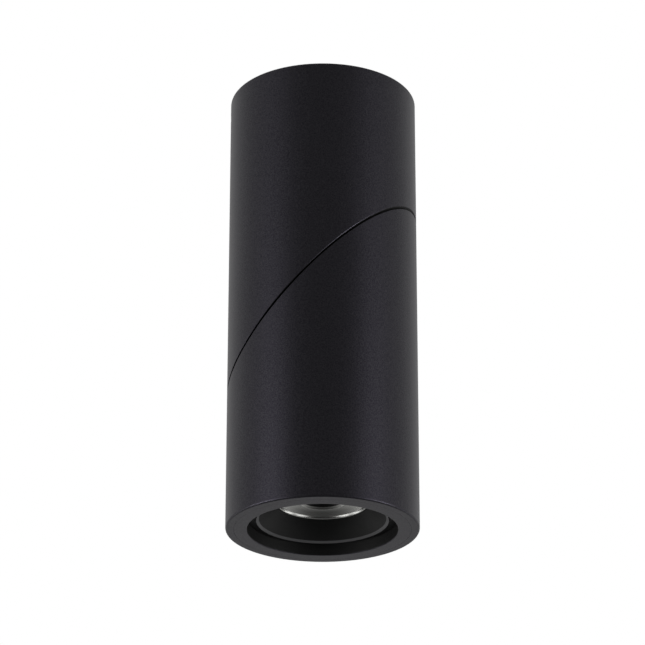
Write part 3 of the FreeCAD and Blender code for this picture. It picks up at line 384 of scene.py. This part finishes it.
class Finish:
    """A material with its shader and the place it reads, ready for effects."""

    def __init__(self, name, base, roughness, metallic=0.0):
        self.material = bpy.data.materials.new(name)
        self.material.use_nodes = True
        self.nodes = self.material.node_tree.nodes
        self.links = self.material.node_tree.links
        self.shader = self.nodes["Principled BSDF"]
        self.set("Base Color", (*base, 1.0))
        self.set("Roughness", roughness)
        self.set("Metallic", metallic)
        self.place = self.nodes.new("ShaderNodeTexCoord").outputs["Object"]
        self.base = base
        self.roughness = roughness

    def set(self, socket, number):
        self.shader.inputs[socket].default_value = number

    def effect(self, group, **numbers):
        node = self.nodes.new("ShaderNodeGroup")
        node.node_tree = group
        self.links.new(self.place, node.inputs["Place"])
        for label, number in numbers.items():
            node.inputs[label.replace("_", " ")].default_value = number
        return node

    def bump(self, height, depth):
        node = self.nodes.new("ShaderNodeBump")
        node.inputs["Distance"].default_value = depth
        self.links.new(height, node.inputs["Height"])
        self.links.new(node.outputs["Normal"], self.shader.inputs["Normal"])

    def follow(self, mask, socket, low, high):
        """Moves a socket from low to high as the mask goes over the middle of its range."""
        node = self.nodes.new("ShaderNodeMapRange")
        node.inputs["From Min"].default_value = MASK_LOW
        node.inputs["From Max"].default_value = MASK_HIGH
        node.inputs["To Min"].default_value = low
        node.inputs["To Max"].default_value = high
        self.links.new(mask, node.inputs["Value"])
        self.links.new(node.outputs["Result"], self.shader.inputs[socket])

    def spread_roughness(self, mask, swing):
        """Roughness that moves by the swing either side of the finish's own."""
        self.follow(mask, "Roughness", self.roughness - swing, self.roughness + swing)

    def spread_lacquer(self, mask, share):
        """Clear lacquer over the finish, from none to this share of it."""
        self.follow(mask, "Coat Weight", 0.0, share)
        self.set("Coat Roughness", self.roughness)

    def spread_colour(self, mask, low, high):
        """The base colour times a share that goes from low to high with the mask."""
        node = self.nodes.new("ShaderNodeMix")
        node.data_type = "RGBA"
        node.inputs["A"].default_value = (*[part * low for part in self.base], 1.0)
        node.inputs["B"].default_value = (*[min(1.0, part * high) for part in self.base], 1.0)
        self.links.new(mask, node.inputs["Factor"])
        self.links.new(node.outputs["Result"], self.shader.inputs["Base Color"])


def powder_coat(name, base, roughness):
    finish = Finish(name, base, roughness)
    finish.set("Specular Tint", COAT_SHEEN)
    finish.set("Specular IOR Level", COAT_REFLECTION)
    grain = finish.effect(grain_effect, Grains_per_metre=2300.0, Waves_per_metre=260.0, Wave_share=0.2)
    finish.bump(grain.outputs["Height"], depth=0.04 * MM)
    finish.spread_roughness(grain.outputs["Speckle"], swing=0.06)
    finish.spread_lacquer(grain.outputs["Speckle"], share=COAT_LACQUER)
    finish.spread_colour(grain.outputs["Speckle"], low=0.85, high=1.15)
    return finish.material


def turned_metal(name, base, roughness, depth=0.004 * MM):
    finish = Finish(name, base, roughness, metallic=1.0)
    rings = finish.effect(turned_effect, Rings_per_metre=2600.0)
    finish.bump(rings.outputs["Height"], depth)
    finish.spread_roughness(rings.outputs["Streak"], swing=0.06)
    finish.spread_colour(rings.outputs["Streak"], low=0.9, high=1.06)
    return finish.material


def anodised_black(name, base, roughness, gloss=0.5):
    finish = Finish(name, base, roughness)
    finish.set("Specular IOR Level", gloss)
    rings = finish.effect(turned_effect, Rings_per_metre=2200.0)
    finish.bump(rings.outputs["Height"], depth=0.006 * MM)
    finish.spread_roughness(rings.outputs["Streak"], swing=0.04)
    finish.spread_colour(rings.outputs["Streak"], low=0.8, high=1.2)
    return finish.material


def plated_steel(name, base, roughness):
    finish = Finish(name, base, roughness, metallic=1.0)
    grain = finish.effect(grain_effect, Grains_per_metre=1800.0, Waves_per_metre=90.0, Wave_share=0.4)
    finish.bump(grain.outputs["Height"], depth=0.006 * MM)
    finish.spread_roughness(grain.outputs["Cloud"], swing=0.04)
    finish.spread_colour(grain.outputs["Speckle"], low=0.93, high=1.05)
    return finish.material


def moulded(name, base, roughness, depth=0.01 * MM):
    finish = Finish(name, base, roughness)
    grain = finish.effect(grain_effect, Grains_per_metre=1500.0, Waves_per_metre=120.0, Wave_share=0.3)
    finish.bump(grain.outputs["Height"], depth)
    finish.spread_roughness(grain.outputs["Speckle"], swing=0.06)
    finish.spread_colour(grain.outputs["Cloud"], low=0.94, high=1.04)
    return finish.material


# What each of the record's material slots is made with: maker, name, base colour, roughness, and for some
# the depth of its grain or its gloss

RECIPES = {
    "housing_black": (powder_coat, "satin_black_coat", (0.0078, 0.0078, 0.0077), 0.38),
    "baffle_black": (anodised_black, "matt_black_anodised", (0.005, 0.005, 0.005), 0.5, 0.3),
    "reflector_silver": (turned_metal, "satin_reflector", (0.84, 0.84, 0.81), 0.24, 0.002 * MM),
    "bare_aluminium": (turned_metal, "bare_aluminium", (0.62, 0.62, 0.63), 0.34),
    "zinc_steel": (plated_steel, "zinc_plated_steel", (0.60, 0.60, 0.57), 0.36),
    "black_steel": (plated_steel, "blackened_steel", (0.05, 0.05, 0.05), 0.4),
    "pivot_steel": (plated_steel, "nickel_plated_steel", (0.62, 0.60, 0.56), 0.26),
    "brass": (plated_steel, "bare_brass", (0.78, 0.60, 0.26), 0.3),
    "tinned_brass": (plated_steel, "tinned_brass", (0.70, 0.69, 0.66), 0.35),
    "grommet_rubber": (moulded, "grommet_rubber", (0.018, 0.018, 0.018), 0.6, 0.02 * MM),
    "driver_plastic": (moulded, "driver_case_plastic", (0.78, 0.78, 0.76), 0.45, 0.02 * MM),
    "terminal_plastic": (moulded, "terminal_plastic", (0.74, 0.72, 0.66), 0.4),
    "live_sleeve": (moulded, "live_sleeve", (0.23, 0.09, 0.04), 0.38, 0.006 * MM),
    "neutral_sleeve": (moulded, "neutral_sleeve", (0.05, 0.16, 0.45), 0.38, 0.006 * MM),
    "earth_sleeve": (moulded, "earth_sleeve", (0.25, 0.50, 0.08), 0.38, 0.006 * MM),
    "lamp_lead_sleeve": (moulded, "lamp_lead_sleeve", (0.70, 0.70, 0.68), 0.42, 0.008 * MM),
    "bush_polymer": (moulded, "bush_polymer", (0.85, 0.84, 0.80), 0.35),
    "friction_fibre": (moulded, "friction_fibre", (0.03, 0.03, 0.03), 0.7, 0.03 * MM),
    "holder_plastic": (moulded, "holder_plastic", (0.04, 0.04, 0.04), 0.45),
    "thermal_grey": (moulded, "thermal_pad_grey", (0.35, 0.35, 0.37), 0.7, 0.02 * MM),
    "board_white": (moulded, "board_coating", (0.82, 0.82, 0.80), 0.35, 0.004 * MM),
    "phosphor_yellow": (moulded, "lamp_phosphor", (0.85, 0.62, 0.10), 0.45, 0.015 * MM),
}

finishes = {slot: make(*recipe) for slot, (make, *recipe) in RECIPES.items()}
machined_rim = anodised_black("machined_baffle_rim", (0.05, 0.05, 0.052), 0.34)
# A black finish used as painted shade: on the shells' cut faces in the gap between them, and inside the
# reflector's collar.
painted_shade_black = anodised_black("cut_and_neck_painted_shade", (0.004, 0.004, 0.004), 0.6, 0.3)
for part in frame["record"]["subparts"]:
    node = frame["nodes"][part["node"]]
    node.data.materials.clear()
    node.data.materials.append(finishes[part["material_slot"]])


# Modelling tools

def edit(piece):
    only(piece)
    bpy.ops.object.mode_set(mode="EDIT")
    bpy.ops.mesh.select_mode(type="EDGE")


def leave_edit():
    bpy.ops.object.mode_set(mode="OBJECT")


def pick_edges(piece, wanted):
    """In edit mode, selects the edges that the test picks out and no others."""
    bpy.ops.mesh.select_all(action="DESELECT")
    drawn = bmesh.from_edit_mesh(piece.data)
    for edge in drawn.edges:
        if wanted(edge):
            edge.select_set(True)
    bmesh.update_edit_mesh(piece.data)


def lies_on_ring(edge, radius, height):
    return all(abs(from_axis(vert.co) - radius) < SAME_PLACE and abs(vert.co.z - height) < SAME_PLACE
               for vert in edge.verts)


def turn_profile(name, corners, rounded=()):
    """Draws a closed (radius, height) outline round the lamp's axis, ring by ring, and rounds some rings.

    Each row of rounded is (corner number, width, segments)."""
    deselect_all()
    radius, height = corners[0]
    bpy.ops.mesh.primitive_circle_add(vertices=ROUND_SEGMENTS, radius=radius, location=(0.0, 0.0, height))
    piece = bpy.context.active_object
    piece.name = name
    bpy.ops.object.transform_apply(location=True, rotation=False, scale=False)
    edit(piece)
    bpy.ops.mesh.select_all(action="SELECT")
    for next_radius, next_height in corners[1:] + corners[:1]:
        rise = next_height - height
        bpy.ops.mesh.extrude_region_move(TRANSFORM_OT_translate={"value": (0.0, 0.0, rise)})
        share = next_radius / radius
        bpy.ops.transform.resize(value=(share, share, 1.0), center_override=(0.0, 0.0, next_height))
        radius, height = next_radius, next_height
    bpy.ops.mesh.select_all(action="SELECT")
    bpy.ops.mesh.remove_doubles(threshold=MERGE_WITHIN)
    bpy.ops.mesh.normals_make_consistent(inside=False)
    for number, width, segments in rounded:
        ring_radius, ring_height = corners[number]
        pick_edges(piece, lambda edge: lies_on_ring(edge, ring_radius, ring_height))
        bpy.ops.mesh.bevel(offset=width, segments=segments, profile=0.5, affect="EDGES")
    leave_edit()
    return piece


def paint_faces(piece, finish, wanted):
    """Gives the faces whose middle the test picks out a finish of their own, after the piece's main one."""
    only(piece)
    if not piece.data.materials:
        piece.data.materials.append(finish)
    piece.data.materials.append(finish)
    edit(piece)
    bpy.ops.mesh.select_mode(type="FACE")
    bpy.ops.mesh.select_all(action="DESELECT")
    drawn = bmesh.from_edit_mesh(piece.data)
    for face in drawn.faces:
        if wanted(face.calc_center_median()):
            face.select_set(True)
    bmesh.update_edit_mesh(piece.data)
    piece.active_material_index = 1
    bpy.ops.object.material_slot_assign()
    leave_edit()


def finish_piece(piece, body, slot, nodes, sharp_from=30.0):
    """Smooths a piece between its sharp bends, gives it its finish and its body, and hides the parts it stands in
    for.
    """
    only(piece)
    bpy.ops.object.shade_smooth()
    edit(piece)
    bpy.ops.mesh.select_all(action="DESELECT")
    bpy.ops.mesh.edges_select_sharp(sharpness=math.radians(sharp_from))
    bpy.ops.mesh.mark_sharp()
    leave_edit()
    weighting = piece.modifiers.new("even_normals", "WEIGHTED_NORMAL")
    weighting.keep_sharp = True
    bpy.ops.object.modifier_apply(modifier=weighting.name)
    if piece.data.materials:
        piece.data.materials[0] = finishes[slot]
    else:
        piece.data.materials.append(finishes[slot])
    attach(piece, body)
    if nodes:
        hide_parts(*nodes)


def at_lit_end(corners):
    """Turns millimetre (radius, height above the lit end) corners into the lamp's frame."""
    return [(radius * MM, lit_end_z + height * MM) for radius, height in corners]


# Shells

def round_shell(node_name, piece_name, body):
    """A copy of a constructed housing whose chamfers, at its rim and along the cut, are made round."""
    source = frame["nodes"][node_name]
    piece = source.copy()
    piece.data = source.data.copy()
    piece.name = piece_name
    bpy.context.scene.collection.objects.link(piece)
    edit(piece)
    bpy.ops.mesh.select_all(action="SELECT")
    bpy.ops.mesh.remove_doubles(threshold=MERGE_WITHIN)
    bpy.ops.mesh.dissolve_limited(angle_limit=FLAT_BEND)

    def near_rim(vert):
        from_end = min(abs(vert.co.z), abs(vert.co.z - lit_end_z))
        return from_end < (RIM_CHAMFER + RIM_ROUNDING) * ALLOWANCE

    for at_rim, chamfer, rounding in ((True, RIM_CHAMFER, RIM_ROUNDING),
                                      (False, SEAM_CHAMFER, SEAM_ROUNDING)):
        skin = body_radius - chamfer * ALLOWANCE

        def on_chamfer(edge):
            outside = all(from_axis(vert.co) > skin and near_rim(vert) == at_rim for vert in edge.verts)
            return outside and len(edge.link_faces) == 2 and edge.calc_face_angle() > CHAMFER_BEND

        pick_edges(piece, on_chamfer)
        bpy.ops.mesh.bevel(offset=rounding, segments=EDGE_SEGMENTS, profile=0.5, affect="EDGES")
    leave_edit()
    # The cut faces are painted black as painted shade in the gap between the shells.
    paint_faces(piece, painted_shade_black, lambda at: abs((at - seam_centre).dot(seam_up)) < CUT_DEPTH)
    finish_piece(piece, body, "housing_black", [node_name])


round_shell("upper_housing", "upper_shell", "housing")
round_shell("head_housing", "head_shell", "head")


# Front end

def build_front_ring():
    ring = turn_profile("front_trim_ring", at_lit_end([
        (OPENING_RADIUS, 0.0), (RING_RADIUS, 0.0), (RING_RADIUS, RING_TOP), (OPENING_RADIUS, RING_TOP),
    ]), [(0, 0.3 * MM, 4), (1, 0.05 * MM, 2)])
    bore = (OPENING_RADIUS + PAINT_MARGIN) * MM
    paint_faces(ring, finishes["baffle_black"], lambda at: from_axis(at) < bore)
    finish_piece(ring, "head", "housing_black", ["front_ring"])


def build_baffle():
    """A step, a flange under the front ring and a cone that narrows to the reflector."""
    baffle = turn_profile("stepped_baffle", at_lit_end([
        (23.87, 3.43), (24.62, RING_TOP),
        (RING_RADIUS, RING_TOP), (RING_RADIUS, 6.5), (24.6, 6.5),
        (18.6, INSERT_TOP), (17.0, INSERT_TOP), (17.0, 10.36), (23.0, 4.06),
    ]), [(0, 0.12 * MM, 2), (8, 0.1 * MM, 2), (7, 0.12 * MM, 2)])
    paint_faces(baffle, machined_rim, lambda at: at.z < lit_end_z + BARE_RING_TOP * MM)
    finish_piece(baffle, "head", "baffle_black", ["baffle"])


def build_reflector():
    """A rolled lip, a cupped trough, a rounded bead and a collar that rises to the lamp."""
    lip = [(16.36, 10.21), (16.76, 10.4), (16.76, INSERT_TOP), (18.4, INSERT_TOP), (18.4, 11.7)]
    back = [(16.3, 12.0), (13.4, 13.9), (8.6, 14.3), (8.0, 14.7)]
    collar = [(8.0, 29.5), (7.2, 29.5), (7.2, 13.2)]
    bead = [(7.95, 11.8), (8.62, 11.3), (8.9, 11.0), (9.2, 11.3)]
    trough = [(9.45, 12.9), (10.2, 13.5), (11.5, 13.5), (13.2, 12.8), (14.5, 11.95), (15.72, 11.0)]
    lip_inside = [(15.9, 10.62), (16.1, 10.32)]
    bead_top = len(lip + back + collar) + 2
    reflector = turn_profile(
        "reflector_bowl", at_lit_end(lip + back + collar + bead + trough + lip_inside),
        [(bead_top, 0.22 * MM, 4)])
    # The collar's inside is painted black as painted shade.
    paint_faces(reflector, painted_shade_black, lambda at: from_axis(at) < NECK_RADIUS * MM)
    finish_piece(reflector, "head", "reflector_silver", ["reflector"], sharp_from=19.0)


def build_lamp_dam():
    """The white dam that holds the lamp's phosphor, round its edge."""
    lens_low, lens_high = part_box("led_emitter")
    edge, face, back = lens_high[0], lens_low[2], lens_high[2]
    crest = face - 0.2 * MM
    dam = turn_profile("lamp_dam", [
        (edge - 0.45 * MM, face), (edge - 0.4 * MM, crest), (edge + 0.25 * MM, crest),
        (edge + 0.4 * MM, back), (edge, back), (edge, face),
    ], [(1, 0.08 * MM, 2), (2, 0.15 * MM, 3)])
    finish_piece(dam, "head", "board_white", [])


def build_grommet():
    """A soft rubber grommet whose rims are rounded."""
    low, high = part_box("cable_grommet")
    flange, bottom, top = high[0], low[2], high[2]
    neck = flange - 1.5 * MM
    bore = flange - 3.0 * MM
    seat = bottom + 1.5 * MM
    grommet = turn_profile("rubber_grommet", [
        (bore, bottom), (flange, bottom), (flange, seat), (neck, seat), (neck, top), (bore, top),
    ], [(0, 0.5 * MM, 4), (1, 0.6 * MM, 5), (2, 0.25 * MM, 3), (5, 0.4 * MM, 4)])
    finish_piece(grommet, "housing", "grommet_rubber", ["cable_grommet"], sharp_from=40.0)


build_front_ring()
build_baffle()
build_reflector()
build_lamp_dam()
build_grommet()
